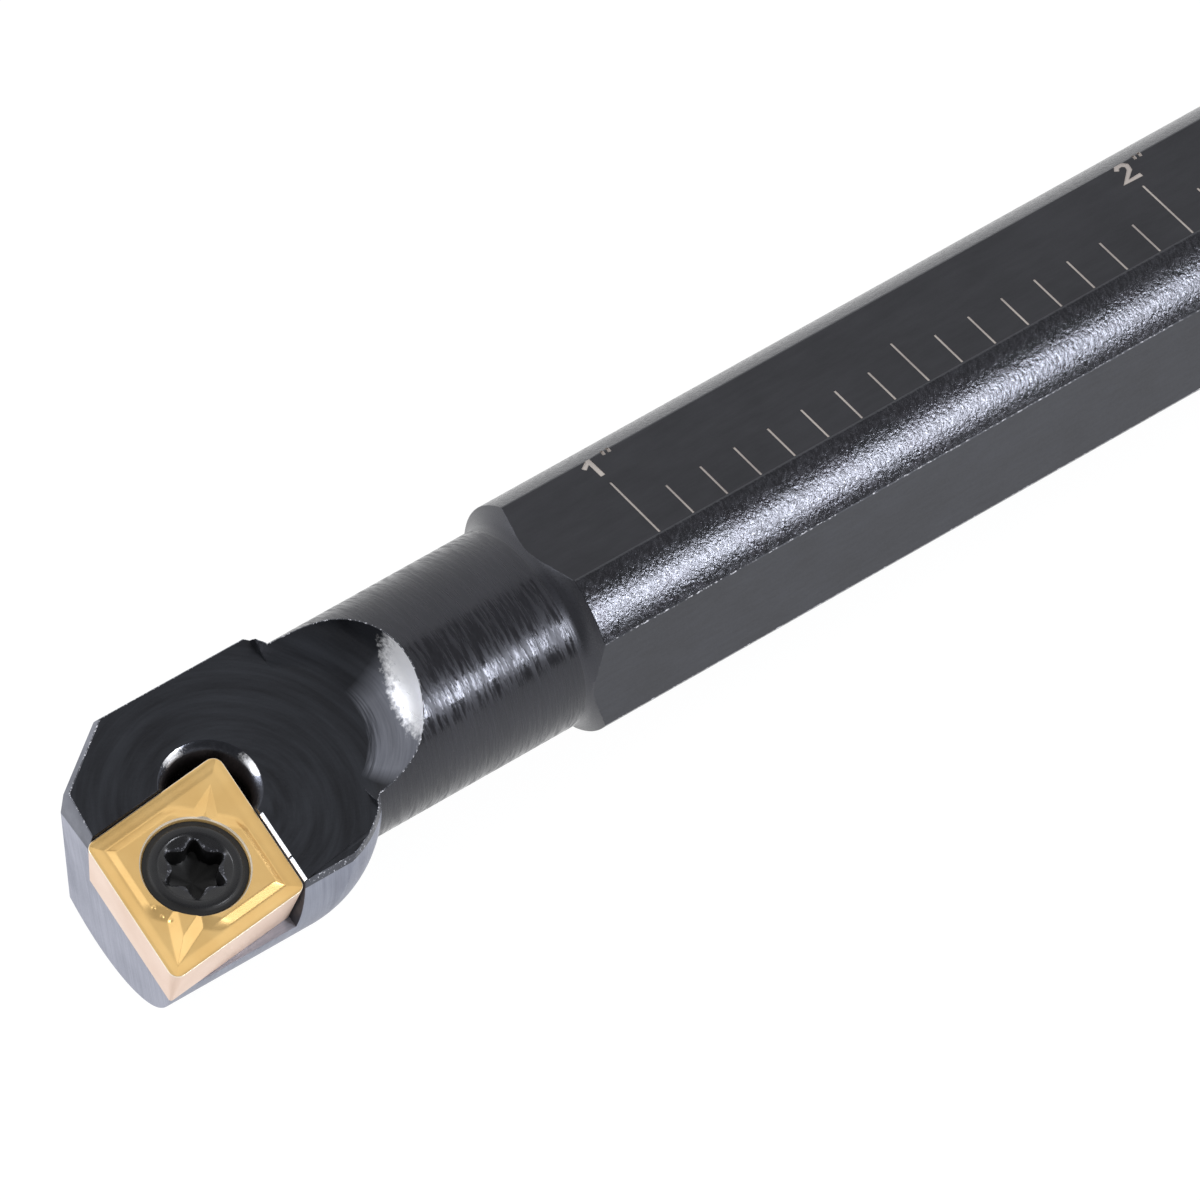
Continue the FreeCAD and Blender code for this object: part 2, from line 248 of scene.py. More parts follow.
ROUND_STEEL = steel("black_oxide_round", linear(13, 13, 16), linear(25, 25, 29), (0.12, 0.26), specular=0.84,
                    fine=(8, 6, 6), grain=0.0190, streaks=(((6.0, 4.0, 4.0), 0.0080),))
FLAT_STEEL = steel("black_oxide_flat", linear(13, 13, 16), linear(30, 30, 33), 0.42, specular=0.46,
                   grain=0.0010, streaks=(((0.6, 3, 3), 0.0010),))
SIDE_STEEL = steel("black_oxide_side", linear(24, 25, 30), linear(38, 40, 46), 0.38,
                   grain=0.0010, streaks=(((0.8, 5, 5), 0.0010),))
NECK_STEEL = steel("black_oxide_neck", linear(19, 19, 22), linear(34, 34, 38), (0.12, 0.38), specular=0.60,
                   fine=(8, 4, 4), grain=0.0030, streaks=(((7.0, 0.8, 0.8), 0.0240),))
SHOULDER_STEEL = steel("black_oxide_shoulder", linear(16, 16, 19), linear(30, 30, 35), 0.30, specular=0.80,
                       grain=0.0020, streaks=(((7, 0.3, 0.3), 0.0060),))
HEAD_SIDE_STEEL = steel("ground_head_side", linear(118, 121, 133), linear(146, 150, 162), 0.40, metal=0.3,
                        grain=0.0010, streaks=(((6, 0.25, 0.25), 0.0030),))
HEAD_RIM_STEEL = steel("worn_head_rim", linear(34, 35, 39), linear(66, 68, 75), 0.36,
                       fine=(3, 3, 3), grain=0.0080, bare=(linear(205, 207, 214), 0.40))
HEAD_DARK_STEEL = steel("black_oxide_head_side", linear(26, 27, 31), linear(60, 62, 69), 0.36,
                        fine=(3, 3, 3), grain=0.0080, streaks=(((5, 0.8, 0.8), 0.0060),))
FRONT_STEEL = steel("brushed_front", linear(130, 133, 146), linear(164, 166, 178), 0.40, metal=0.35,
                    grain=0.0010, streaks=(((0.5, 7, 0.25), 0.0030),))
BEVEL_STEEL = steel("bevel_steel", linear(78, 80, 87), linear(118, 120, 128), 0.42, metal=0.2,
                    fine=(5, 5, 5), grain=0.0050)
BRIGHT_STEEL = steel("bright_cut_steel", linear(205, 208, 214), linear(242, 244, 248), 0.24, metal=0.85,
                     grain=0.0020)
EDGE_STEEL = steel("worn_edge_steel", linear(36, 38, 42), linear(80, 82, 88), 0.34, metal=0.1,
                   fine=(6, 6, 6), grain=0.0030, bare=(linear(225, 225, 232), 0.44))
POCKET_STEEL = steel("pocket_wall_steel", linear(10, 10, 12), linear(18, 18, 21), 0.60, specular=0.15,
                     grain=0.0020)
HOLE_STEEL = steel("hole_steel", linear(8, 8, 9), linear(16, 16, 18), 0.24,
                   grain=0.0030, streaks=(((2, 2, 5), 0.0030),))
MARK_STEEL = steel("engraved_mark", linear(160, 152, 147), linear(184, 176, 169), 0.60,
                   fine=(8, 8, 8), grain=0.0020)


# The face mill's traces, from its axis: the middle of its arcs, the bright crescent of painted highlight and
# the grey band
ARC_OFFSET = (3.6, 1.2)
CRESCENT_FROM = 4.08
CRESCENT_BEND = 3.0
CRESCENT_TURN = 0.24
BAND_FROM = 2.95


def milled_steel():
    """Black steel with the mill's arcs, a grey band where it lifted and a bright crescent at the rim, a
    painted highlight.
    """
    graph = Graph("black_oxide_milled")
    cutter = ON_FLAT @ shift(-CUTTER_BACK, -CUTTER_SIDE, 0)
    radius, swing = graph.polar(cutter @ shift(*ARC_OFFSET, 0))
    spot = graph.add("CombineXYZ", {"X": radius, "Y": swing}).outputs["Vector"]
    arcs = graph.noise((3.0, 1.2, 1.0), detail=4.0, rough=0.65, at=spot)
    broad = graph.noise((1.1, 0.8, 1.0), detail=2.0, at=spot)
    grain = graph.noise((13, 13, 13), detail=2.0)
    patch = graph.noise((4.5, 4.5, 4.5), detail=4.0, rough=0.65)

    radius, swing = graph.polar(cutter)
    spot = graph.add("CombineXYZ", {"X": radius, "Y": swing}).outputs["Vector"]
    rim_arcs = graph.noise((9.0, 1.5, 1.0), detail=4.0, rough=0.6, at=spot)
    ragged = graph.math("MULTIPLY_ADD", patch, 0.8, graph.math("SUBTRACT", radius, 0.40))
    turned = graph.math("ADD", swing, CRESCENT_TURN)
    bend = graph.math("MULTIPLY_ADD", graph.math("MULTIPLY", turned, turned), -CRESCENT_BEND, ragged)
    highlight_crescent = graph.ramp(bend, CRESCENT_FROM - 0.12, CRESCENT_FROM + 0.28)
    streaked = graph.math("MULTIPLY_ADD", rim_arcs, 0.9, graph.math("SUBTRACT", radius, 0.45))
    band = graph.ramp(streaked, BAND_FROM - 0.15, BAND_FROM + 0.30)
    band = graph.math("MULTIPLY", band, graph.ramp(swing, -0.05, 0.25, 1.0, 0.0))
    band = graph.math("MULTIPLY", band, graph.ramp(swing, -1.10, -0.90))

    tone = graph.math("MULTIPLY_ADD", arcs, 0.5, graph.math("MULTIPLY", broad, 0.5))
    colour = graph.blend(graph.ramp(tone, 0.38, 0.62), linear(14, 15, 18), linear(36, 38, 42))
    grey = graph.blend(rim_arcs, linear(72, 74, 80), linear(124, 126, 134))
    # The crescent's near-white colour is a painted highlight, where the front lamp would glint on the
    # fillet's rim.
    painted_highlight = graph.blend(patch, linear(240, 241, 245), linear(255, 255, 255))
    colour = graph.blend(highlight_crescent, graph.blend(band, colour, grey), painted_highlight)
    graph.bump(((grain, 0.0010), (patch, 0.0100), (arcs, 0.0014), (rim_arcs, 0.0030)))
    roughness = graph.math("MULTIPLY_ADD", highlight_crescent, -0.10, graph.ramp(arcs, 0.3, 0.7, 0.34, 0.48))
    metallic = graph.math("MULTIPLY", highlight_crescent, 0.40)
    return graph.finish(Base_Color=colour, Roughness=roughness, Metallic=metallic, Specular_IOR_Level=0.30,
                        Specular_Tint=COOL_TINT)


MILLED_STEEL = milled_steel()


def relief_steel():
    """Dark bare steel round the relief hole, with a painted highlight: a bright crescent on each side of the
    insert's corner.
    """
    graph = Graph("relief_steel")
    radius, swing = graph.polar(ON_INSERT @ shift(RELIEF_INSET - HALF_DIAGONAL, 0, HEAD_FLAT_RISE))
    patch = graph.noise((7, 7, 7), detail=4.0, rough=0.7)
    aside = graph.math("ABSOLUTE", graph.math("SUBTRACT", swing, 0.12))
    aside = graph.math("ABSOLUTE", graph.math("SUBTRACT", aside, 0.90))
    aside = graph.math("MULTIPLY_ADD", patch, 0.6, aside)
    # The bright crescents are a painted highlight: near-white on this mirror-like metal, on two sides of the
    # hole's rim.
    painted_highlight = graph.ramp(aside, 0.42, 0.60, 1.0, 0.0)
    painted_highlight = graph.math("MULTIPLY", painted_highlight, graph.ramp(radius, 1.71, 1.80))
    dark = graph.blend(patch, linear(46, 48, 54), linear(84, 86, 93))
    colour = graph.blend(painted_highlight, dark, linear(236, 237, 241))
    graph.bump(((patch, 0.0060),))
    return graph.finish(Base_Color=colour, Roughness=0.24, Metallic=1.0)


RELIEF_STEEL = relief_steel()


def coating(name, dark, light, rough, metal):
    """A smooth coat, a little cloudy in its colour."""
    graph = Graph(name)
    cloud = graph.noise((0.5, 0.5, 0.5), detail=3.0)
    grain = graph.noise((22, 22, 22), detail=2.0)
    graph.bump(((grain, 0.0004),))
    colour = graph.blend(graph.ramp(cloud, 0.3, 0.7), dark, light)
    roughness = graph.ramp(grain, 0.3, 0.7, rough - 0.05, rough + 0.06)
    return graph.finish(Base_Color=colour, Roughness=roughness, Metallic=metal)


GOLD = coating("gold_coating", linear(229, 187, 118), linear(241, 202, 134), 0.33, 0.78)
GOLD_FLANK = coating("ground_flank_coating", linear(230, 201, 180), linear(240, 214, 195), 0.40, 0.35)
SCREW_BLACK = coating("black_screw", linear(14, 14, 17), linear(24, 25, 28), 0.30, 0.0)
# Near-white cream: a painted highlight along the insert's top edge and round the countersink's rim.
GOLD_EDGE_HIGHLIGHT = coating("gold_edge_highlight", linear(244, 226, 196), linear(252, 240, 220), 0.32, 0.35)
RECESS_EDGE = steel("worn_recess_edge", linear(12, 12, 14), linear(24, 24, 27), 0.34,
                    fine=(6, 6, 6), grain=0.0030, bare=(linear(118, 119, 125), 0.43))
# Darker than the screw's own black: painted shade in the recess and round the head's outer edge.
PAINTED_SHADE_BLACK = coating("painted_shade_black", linear(5, 5, 6), linear(10, 10, 11), 0.55, 0.0)


# Mesh building, in millimetres


def new_object(name, mesh, *materials):
    shape = bpy.data.objects.new(name, mesh)
    bpy.context.scene.collection.objects.link(shape)
    for material in materials:
        mesh.materials.append(material)
    return shape


def from_faces(name, points, faces, materials, slots=None):
    """An object from points and faces, with the faces turned outwards."""
    mesh = bpy.data.meshes.new(name)
    mesh.from_pydata([tuple(point) for point in points], [], faces)
    if slots:
        mesh.polygons.foreach_set("material_index", slots)
    shell = bmesh.new()
    shell.from_mesh(mesh)
    bmesh.ops.recalc_face_normals(shell, faces=shell.faces)
    shell.to_mesh(mesh)
    shell.free()
    return new_object(name, mesh, *materials)


def rings_to_faces(rings, steps, closed_start, closed_end):
    """Quads between rings of the same number of points, and one flat face over each closed end."""
    faces = []
    for ring in range(rings - 1):
        first, second = ring * steps, (ring + 1) * steps
        for step in range(steps):
            following = (step + 1) % steps
            faces.append((first + step, first + following, second + following, second + step))
    last = (rings - 1) * steps
    if closed_start:
        faces.append(tuple(reversed(range(steps))))
    if closed_end:
        faces.append(tuple(range(last, last + steps)))
    return faces


def lathe(name, profile, steps, matrix, materials, slots=None):
    """A solid turned about the local Z axis from (height, radius) pairs, closed by flat ends."""
    points = []
    for height, radius in profile:
        for step in range(steps):
            angle = TAU * step / steps
            points.append(matrix @ Vector((radius * math.cos(angle), radius * math.sin(angle), height)))
    faces = rings_to_faces(len(profile), steps, True, True)
    face_slots = None
    if slots:
        face_slots = [slots[ring] for ring in range(len(profile) - 1) for _ in range(steps)]
        face_slots += [slots[0], slots[-1]]
    return from_faces(name, points, faces, materials, face_slots)


def prism(name, outline, low, high, matrix, materials, low_outline=None, slots=None):
    """A solid between two heights of the local Z axis."""
    steps = len(outline)
    points = [matrix @ Vector((x, y, low)) for x, y in low_outline or outline]
    points += [matrix @ Vector((x, y, high)) for x, y in outline]
    return from_faces(name, points, rings_to_faces(2, steps, True, True), materials, slots)


def bake(shape):
    """Make what the modifiers give the object's own mesh."""
    graph = bpy.context.evaluated_depsgraph_get()
    mesh = bpy.data.meshes.new_from_object(shape.evaluated_get(graph), preserve_all_data_layers=True,
                                           depsgraph=graph)
    shape.modifiers.clear()
    shape.data = mesh


def combine(target, tool, operation, overlaps=False):
    """Join a solid to the target or cut it out; the new faces keep the tool's materials."""
    modifier = target.modifiers.new("combine", "BOOLEAN")
    modifier.operation = operation
    modifier.use_self = overlaps
    modifier.solver = "EXACT"
    modifier.material_mode = "TRANSFER"
    modifier.object = tool
    bake(target)
    bpy.data.objects.remove(tool)


def cut(target, tool):
    combine(target, tool, "DIFFERENCE")


def cut_beyond(target, matrix, material):
    """Cut off all that lies on the +X side of a plane."""
    half = ROOM / 2
    square = ((0, -half), (ROOM, -half), (ROOM, half), (0, half))
    cut(target, prism("plane_cut", square, -half, half, matrix, [material]))


def arc(centre, radius, start, end, count):
    """Points along an arc, angles in degrees."""
    angles = (math.radians(start + (end - start) * step / count) for step in range(count + 1))
    return [(centre[0] + radius * math.cos(a), centre[1] + radius * math.sin(a)) for a in angles]


def smooth(shape, sharp_angle):
    """Smooth shading that keeps the flats flat."""
    mesh = shape.data
    mesh.polygons.foreach_set("use_smooth", [True] * len(mesh.polygons))
    mesh.set_sharp_from_angle(angle=math.radians(sharp_angle))
    weighted = shape.modifiers.new("weighted", "WEIGHTED_NORMAL")
    weighted.keep_sharp = True
    weighted.weight = 100
    bake(shape)


def clean(shape):
    """Join the points that the cuts left almost in one place."""
    same = 0.0008
    solid = bmesh.new()
    solid.from_mesh(shape.data)
    bmesh.ops.remove_doubles(solid, verts=solid.verts, dist=same)
    bmesh.ops.dissolve_degenerate(solid, edges=solid.edges, dist=same)
    solid.to_mesh(shape.data)
    solid.free()


def soften_edges(shape, width, least_angle, spared, worn, worn_between):
    """Break the sharp edges by a narrow round face, but not beside a spared material or in a spared pair.

    The new faces look worn between the materials of a worn_between pair, and like their neighbours elsewhere.
    """
    slots = list(shape.data.materials)
    kept = [{slots.index(material) for material in pair} for pair in spared]
    pairs = [{slots.index(material) for material in pair} for pair in worn_between]
    shape.data.materials.append(worn)
    solid = bmesh.new()
    solid.from_mesh(shape.data)
    limit = math.radians(least_angle)
    edges = []
    for edge in solid.edges:
        if len(edge.link_faces) != 2 or not edge.is_convex or edge.calc_face_angle() < limit:
            continue
        beside_edge = {face.material_index for face in edge.link_faces}
        wide = all(face.calc_area() > width * edge.calc_length() for face in edge.link_faces)
        if wide and not any(beside_edge <= pair or len(pair) == 1 and pair <= beside_edge for pair in kept):
            edges.append(edge)
    made = set(bmesh.ops.bevel(solid, geom=edges, offset=width, offset_type="OFFSET", segments=2, profile=0.5,
                               affect="EDGES", clamp_overlap=False, loop_slide=True, material=-1)["faces"])

    def beside(face):
        return {other for edge in face.edges for other in edge.link_faces}

    kinds = {}
    for face in made:
        near = beside(face)
        for other in list(near & made):
            near |= beside(other)
        kinds[face] = {other.material_index for other in near - made}
    for face, kind in kinds.items():
        if any(pair <= kind for pair in pairs):
            face.material_index = len(slots)
    solid.to_mesh(shape.data)
    solid.free()


def place(shape, name, *nodes, slot):
    """Scale a finished piece to metres and let it stand for its node."""
    shape.name = name
    shape.data.name = name
    shape.data.transform(Matrix.Scale(MM, 4))
    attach(shape, "root")
    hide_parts(*nodes)


# The bar

ROUND_STEPS = 192
CUTTER_STEPS = 256
# The cutting side of the head is ground bright below this height
GROUND_BELOW = 0.05
EDGE_BREAK = 0.035
EDGE_LEAST_ANGLE = 25


def make_turned_bar():
    profile = (
        (0, 0.01), (0, SHANK_RADIUS - TAIL_CHAMFER), (TAIL_CHAMFER, SHANK_RADIUS),
        (SHANK_END, SHANK_RADIUS), (SHANK_END + 0.14, 4.52), (SHANK_END + 0.30, 4.33),
        (SHANK_END + 0.46, 4.21), (SHANK_END + 0.60, 4.16), (FLATS_END, NECK_RADIUS),
        (FLATS_END + 0.06, NECK_RADIUS - 0.012), (FLATS_END + 0.11, NECK_RADIUS - 0.012),
        (FLATS_END + 0.17, NECK_RADIUS), (REAR_ROUND_X, NECK_RADIUS))
    return lathe("bar", profile, ROUND_STEPS, ALONG_X,
                 [SHOULDER_STEEL, ROUND_STEEL, NECK_STEEL], (0, 0, 1, 0, 0, 0, 0, 0, 0, 0, 2, 2, 2))


def make_head_blank():
    length = BAR_LENGTH + NOSE_REACH
    profile = ((HEAD_START, HEAD_RADIUS - HEAD_CHAMFER), (HEAD_START + HEAD_CHAMFER, HEAD_RADIUS),
               (length, HEAD_RADIUS))
    centre = shift(0, HEAD_SIDE, HEAD_UP)
    blank = lathe("head_blank", profile, ROUND_STEPS, centre @ ALONG_X, [HEAD_DARK_STEEL, HEAD_SIDE_STEEL])

    # The rear is rounded about an axis that is shifted away from the cutting side
    crest = HEAD_RADIUS + REAR_ROUND_SHIFT
    back_angle = math.degrees(math.acos((HEAD_START - REAR_ROUND_X) / REAR_ROUND))
    round_points = arc((REAR_ROUND_X, crest - REAR_ROUND), REAR_ROUND, back_angle, 90, 24)
    far = 2 * HEAD_RADIUS
    behind = HEAD_START - 1
    profile = [(behind, round_points[0][1])] + round_points + [(REAR_ROUND_X, far), (behind, far)]
    angle = math.radians(REAR_ROUND_TURN)
    axis = shift(0, HEAD_SIDE - REAR_ROUND_SHIFT * math.cos(angle),
                 HEAD_UP + REAR_ROUND_SHIFT * math.sin(angle))
    steps = ROUND_STEPS
    points = [axis @ ALONG_X @ Vector((r * math.cos(TAU * s / steps), r * math.sin(TAU * s / steps), x))
              for x, r in profile for s in range(steps)]
    count = len(profile)
    faces = [(ring * steps + s, ring * steps + (s + 1) % steps,
              ((ring + 1) % count) * steps + (s + 1) % steps, ((ring + 1) % count) * steps + s)
             for ring in range(count) for s in range(steps)]
    rear_round = from_faces("rear_round", points, faces, [HEAD_DARK_STEEL, HEAD_SIDE_STEEL])
    for shape in (blank, rear_round):
        shape.data.materials.append(HEAD_RIM_STEEL)
        for face in shape.data.polygons:
            if face.center.y > 0:
                face.material_index = 1 if face.center.z < GROUND_BELOW else 2
            else:
                face.material_index = 0
    cut(blank, rear_round)
    return blank


def cut_shank_flats(bar):
    room = 2 * SHANK_RADIUS
    for low, high, y_low, y_high, material in (
            (FLAT_HEIGHT, room, -room, room, FLAT_STEEL),
            (-room, -FLAT_HEIGHT, -room, room, FLAT_STEEL),
            (-room, room, SIDE_FLAT, room, SIDE_STEEL)):
        outline = ((-1, y_low), (FLATS_END, y_low), (FLATS_END, y_high), (-1, y_high))
        cut(bar, prism("flat_cut", outline, low, high, Matrix(), [material]))


def cut_head_flat(bar):
    # The plan reaches back under the cutter's flat end, so that the two meet on one level
    cutter = ON_FLAT @ shift(-CUTTER_BACK, -CUTTER_SIDE, 0)
    inner = CUTTER_RADIUS - CUTTER_CORNER
    reach = inner - 0.06
    angle = math.degrees(math.acos((HEAD_FLAT_LENGTH - CUTTER_BACK) / reach))
    plan = [(-HEAD_FLAT_LENGTH, -ROOM), (NOSE_REACH, -ROOM), (NOSE_REACH, ROOM), (-HEAD_FLAT_LENGTH, ROOM)]
    plan += arc((-CUTTER_BACK, -CUTTER_SIDE), reach, 180 - angle, 180 + angle, 24)
    cut(bar, prism("head_flat_cut", plan, 0, ROOM, ON_FLAT, [MILLED_STEEL]))
    round_points = arc((inner, CUTTER_CORNER), CUTTER_CORNER, -90, 0, 20)
    profile = [(height, radius) for radius, height in round_points] + [(ROOM, CUTTER_RADIUS)]
    cut(bar, lathe("cutter", profile, CUTTER_STEPS, cutter, [MILLED_STEEL]))


def rhombus(back, reach, inset):
    """A long rhombus whose rear corner is on the insert's diagonal, moved in by the inset."""
    half_angle = math.radians(INSERT_ANGLE / 2)
    rear = back + inset / math.sin(half_angle)
    side = inset / math.cos(half_angle)
    middle = back + reach * math.cos(half_angle)
    front = 2 * middle - back
    width = reach * math.sin(half_angle)
    return ((rear, 0), (middle, side - width), (front, 0), (middle, width - side))


def cut_insert_pocket(bar):
    depth = INSERT_THICK + HEAD_FLAT_RISE
    spread = (POCKET_GAP + HEAD_FLAT_RISE * FLANK_SLOPE) / math.sin(math.radians(INSERT_ANGLE / 2))
    back = -(HALF_DIAGONAL + spread)
    reach = 2.8 * INSERT_HALF
    top = rhombus(back, reach, -FLANK_SLOPE)
    low = rhombus(back, reach, depth * FLANK_SLOPE)
    frame_at = ON_INSERT @ shift(0, 0, HEAD_FLAT_RISE)
    # The pocket's floor takes the light front steel: painted light, lifting the shade of the insert's flank
    # on it.
    cut(bar, prism("pocket", top, -depth, 1, frame_at, [POCKET_STEEL, FRONT_STEEL, HEAD_DARK_STEEL], low,
                   [0, 0, 0, 2, 1, 0]))
    relief = ((-depth - RELIEF_DEPTH, 1.45), (-1.10, 1.45), (-0.85, 1.49), (-0.62, 1.54), (-0.42, 1.62),
              (-0.26, 1.72), (-0.15, 1.81), (-0.06, 1.90), (0.01, 1.985), (0.1, 2.09), (1, 2.1))
    screw_hole = ((-ROOM, SCREW_HOLE_RADIUS), (1, SCREW_HOLE_RADIUS))
    for centre, profile, slots in ((RELIEF_INSET - HALF_DIAGONAL, relief, [0] * 2 + [1] * 8),
                                   (0, screw_hole, (0,))):
        hole_at = frame_at @ shift(centre, 0, 0)
        cut(bar, lathe("hole", profile, ROUND_STEPS // 2, hole_at, [HOLE_STEEL, RELIEF_STEEL], slots))

    # The bright break of the pocket's edge behind the insert, in two lengths
    half_angle = math.radians(INSERT_ANGLE / 2)
    sine, cosine = math.sin(half_angle), math.cos(half_angle)
    along_wall = frame_at @ Matrix(((-sine, 0, cosine, 0), (cosine, 0, sine, 0), (0, 1, 0, 0), (0, 0, 0, 1)))
    wall = INSERT_HALF + POCKET_GAP + HEAD_FLAT_RISE * FLANK_SLOPE
    breadth = 0.11
    corner = ((wall + breadth + 0.2, 0.2), (wall - 0.1, -breadth - 0.1), (wall - 0.1, 0.2))
    for start, end in ((-0.74, 1.31), (1.40, 2.45)):
        cut(bar, prism("edge_break", corner, start, end, along_wall, [BRIGHT_STEEL]))


def cut_head_end(bar):
    """Cut the front face, then the near bevel, the far bevel and the far corner."""
    foot = INSERT_THICK * FLANK_SLOPE + FRONT_SETBACK
    front = NOSE @ turn("Z", -INSERT_LEAD) @ shift(-foot, 0, -INSERT_THICK) @ turn("Y", FRONT_CLEARANCE)
    cut_beyond(bar, front, FRONT_STEEL)
    for swing, lean, land, material in (
            (4.0, 19.0, 0, BEVEL_STEEL), (46.9, 45.0, 0, BEVEL_STEEL), (55.0, 2.2, 0.27, FRONT_STEEL)):
        plane = shift(*CORNER) @ turn("Z", -swing) @ turn("Y", -lean) @ shift(land, 0, 0)
        cut_beyond(bar, plane, material)


def stroke(points, width):
    """The outline of a bent line of even width."""
    half = width / 2
    left, right = [], []
    spots = [Vector(point) for point in points]
    for index, spot in enumerate(spots):
        before = (spot - spots[index - 1]).normalized() if index else None
        after = (spots[index + 1] - spot).normalized() if index < len(spots) - 1 else None
        along = ((before or after) + (after or before)).normalized()
        side = Vector((-along.y, along.x))
        reach = half / max(0.5, side.dot(Vector((-(after or before).y, (after or before).x))))
        left.append(spot + side * reach)
        right.append(spot - side * reach)
    return [tuple(p) for p in left + right[::-1]]


# Ruler numerals 1 to 5, each one bent line: to the reader's right from the inch tick, and up from the foot
NUMERALS = (
    ((-0.40, 0.66), (-0.02, 0.93), (0.0, 0.0)),
    ((-0.33, 0.74), (-0.22, 0.90), (0.02, 0.92), (0.17, 0.76), (0.12, 0.52), (-0.40, 0.06), (0.34, 0.06)),
    ((-0.33, 0.86), (0.26, 0.86), (-0.04, 0.52), (0.18, 0.46), (0.27, 0.27), (0.14, 0.08), (-0.12, 0.05),
     (-0.34, 0.18)),
    ((0.30, 0.26), (-0.38, 0.26), (0.10, 0.93), (0.10, 0.0)),
    ((0.26, 0.88), (-0.26, 0.88), (-0.30, 0.50), (-0.02, 0.56), (0.24, 0.44), (0.26, 0.20), (0.08, 0.05),
     (-0.16, 0.05), (-0.34, 0.16)))
NUMERAL_FOOT = -1.30
NUMERAL_WIDTH = 0.20
INCH = 25.4
# Ticks to the inch; the inch and half-inch ticks reach farther than the rest
TICKS = 16
TICK_NEAR = 2.24
TICK_FAR = {0: -0.85, 8: -0.14}
TICK_FAR_SHORT = 0.52
TICK_WIDTH = 0.082
RULER_SHIFT = 0.185
# The two strokes of the inch sign: how far right of the tick, and how far up they start and end
INCH_STROKES = (0.66, 0.92)
STROKE_START = 0.82
STROKE_END = 1.10
STROKE_LEAN = 0.04
STROKE_WIDTH = 0.13
STROKE_SLOPE = 0.4
SLOPE_START = 0.8
MARK_DEPTH = 0.02


def make_ruler_cutter():
    """All ticks and numerals of the ruler, as one tool that cuts just into the top flat."""
    points, faces = [], []

    def add(outline, slope=0.0):
        """A slope lets the foot follow the bar where a mark runs over the edge of the flat."""
        first, count = len(points), len(outline)
        points.extend((x, y, FLAT_HEIGHT - MARK_DEPTH + slope * (y - NUMERAL_FOOT + SLOPE_START))
                      for x, y in outline)
        points.extend((x, y, FLAT_HEIGHT + 0.5) for x, y in outline)
        for face in rings_to_faces(2, count, True, True):
            faces.append(tuple(first + corner for corner in face))

    for mark in range(TICKS, TICKS * len(NUMERALS) + 1):
        x = BAR_LENGTH - INCH * mark / TICKS + RULER_SHIFT
        add(stroke(((x, TICK_NEAR), (x, TICK_FAR.get(mark % TICKS, TICK_FAR_SHORT))), TICK_WIDTH))
        if mark % TICKS:
            continue
        line = NUMERALS[mark // TICKS - 1]
        add(stroke([(x - right, NUMERAL_FOOT - up) for right, up in line], NUMERAL_WIDTH))
        for right in INCH_STROKES:
            start = (x - right, NUMERAL_FOOT - STROKE_START)
            end = (x - right - STROKE_LEAN, NUMERAL_FOOT - STROKE_END)
            add(stroke((start, end), STROKE_WIDTH), STROKE_SLOPE)
    return from_faces("ruler_cut", points, faces, [MARK_STEEL])


def make_bar():
    bar = make_turned_bar()
    combine(bar, make_head_blank(), "UNION")
    cut_shank_flats(bar)
    cut_head_flat(bar)
    cut_insert_pocket(bar)
    cut_head_end(bar)
    combine(bar, make_ruler_cutter(), "DIFFERENCE", overlaps=True)
    clean(bar)
    spared = ((MARK_STEEL,), (FLAT_STEEL, ROUND_STEEL))
    worn_between = (
        (ROUND_STEEL, SIDE_STEEL), (NECK_STEEL, MILLED_STEEL), (HEAD_DARK_STEEL, MILLED_STEEL),
        (HEAD_RIM_STEEL, MILLED_STEEL), (BEVEL_STEEL, MILLED_STEEL), (HEAD_SIDE_STEEL, BEVEL_STEEL))
    soften_edges(bar, EDGE_BREAK, EDGE_LEAST_ANGLE, spared, EDGE_STEEL, worn_between)
    smooth(bar, sharp_angle=40)
    return bar


# The insert, drawn about its own centre with its cutting edge at height zero

LAND = 0.08
LAND_FALL = 0.48
GROOVE = 0.58
WALL_END = 0.89
# The wall is a little farther in along one pair of sides and nearer along the other
WALL_CHANGE = 0.04
WALL_CHANGE_RATE = 4
GROOVE_DEPTH = 0.10
ISLAND_HEIGHT = 0.055
ISLAND_END = 2.50
ISLAND_RAMP = 0.60
TIP_START = 2.8
TIP_HEIGHT = 0.15
TIP_FALL = 0.17
TIP_SLOPE = 0.46
TIP_LIMIT = ISLAND_HEIGHT + 0.06
REAR_TIP_DROP = 0.11
# Small moulded pips on the island, by their places
PIPS = ((2.05, -1.25), (2.3, -0.9), (2.4, -0.55))
PIP_RADIUS = 0.11
PIP_HEIGHT = 0.035
# Points along a quarter of the outline, and in each of its two corners
QUARTER = 132
ARC_SHARE = 10
INSERT_RINGS = 32
ISLAND_RINGS = 26


def ease(value):
    """Rise smoothly from 0 to 1."""
    value = min(1.0, max(0.0, value))
    return value * value * (3 - 2 * value)


def insert_height(x, y):
    """The moulded chip breaker: a land, a groove, a wall up to the island and a ridge into each sharp corner.

    The pips are added on top.
    """
    half_angle = math.radians(INSERT_ANGLE / 2)
    inset = INSERT_HALF - abs(x) * math.sin(half_angle) - abs(y) * math.cos(half_angle)
    floor = -GROOVE_DEPTH * ease((inset - LAND) / LAND_FALL)
    wall_end = WALL_END + WALL_CHANGE * math.tanh(WALL_CHANGE_RATE * x * y)
    wall = min(1.0, max(0.0, (inset - GROOVE) / (wall_end - GROOVE)))
    rise = wall * ease((ISLAND_END - abs(x)) / ISLAND_RAMP)
    island = -GROOVE_DEPTH + (ISLAND_HEIGHT + GROOVE_DEPTH) * rise
    ridge = TIP_HEIGHT - TIP_FALL * (abs(x) - TIP_START) - TIP_SLOPE * abs(y)
    if x < 0:
        ridge -= REAR_TIP_DROP
    height = max(floor, island if inset > GROOVE else -1, min(ridge, TIP_LIMIT))
    for pip_x, pip_y in PIPS:
        height += PIP_HEIGHT * ease(1 - math.hypot(x - pip_x, y - pip_y) / PIP_RADIUS)
    return height


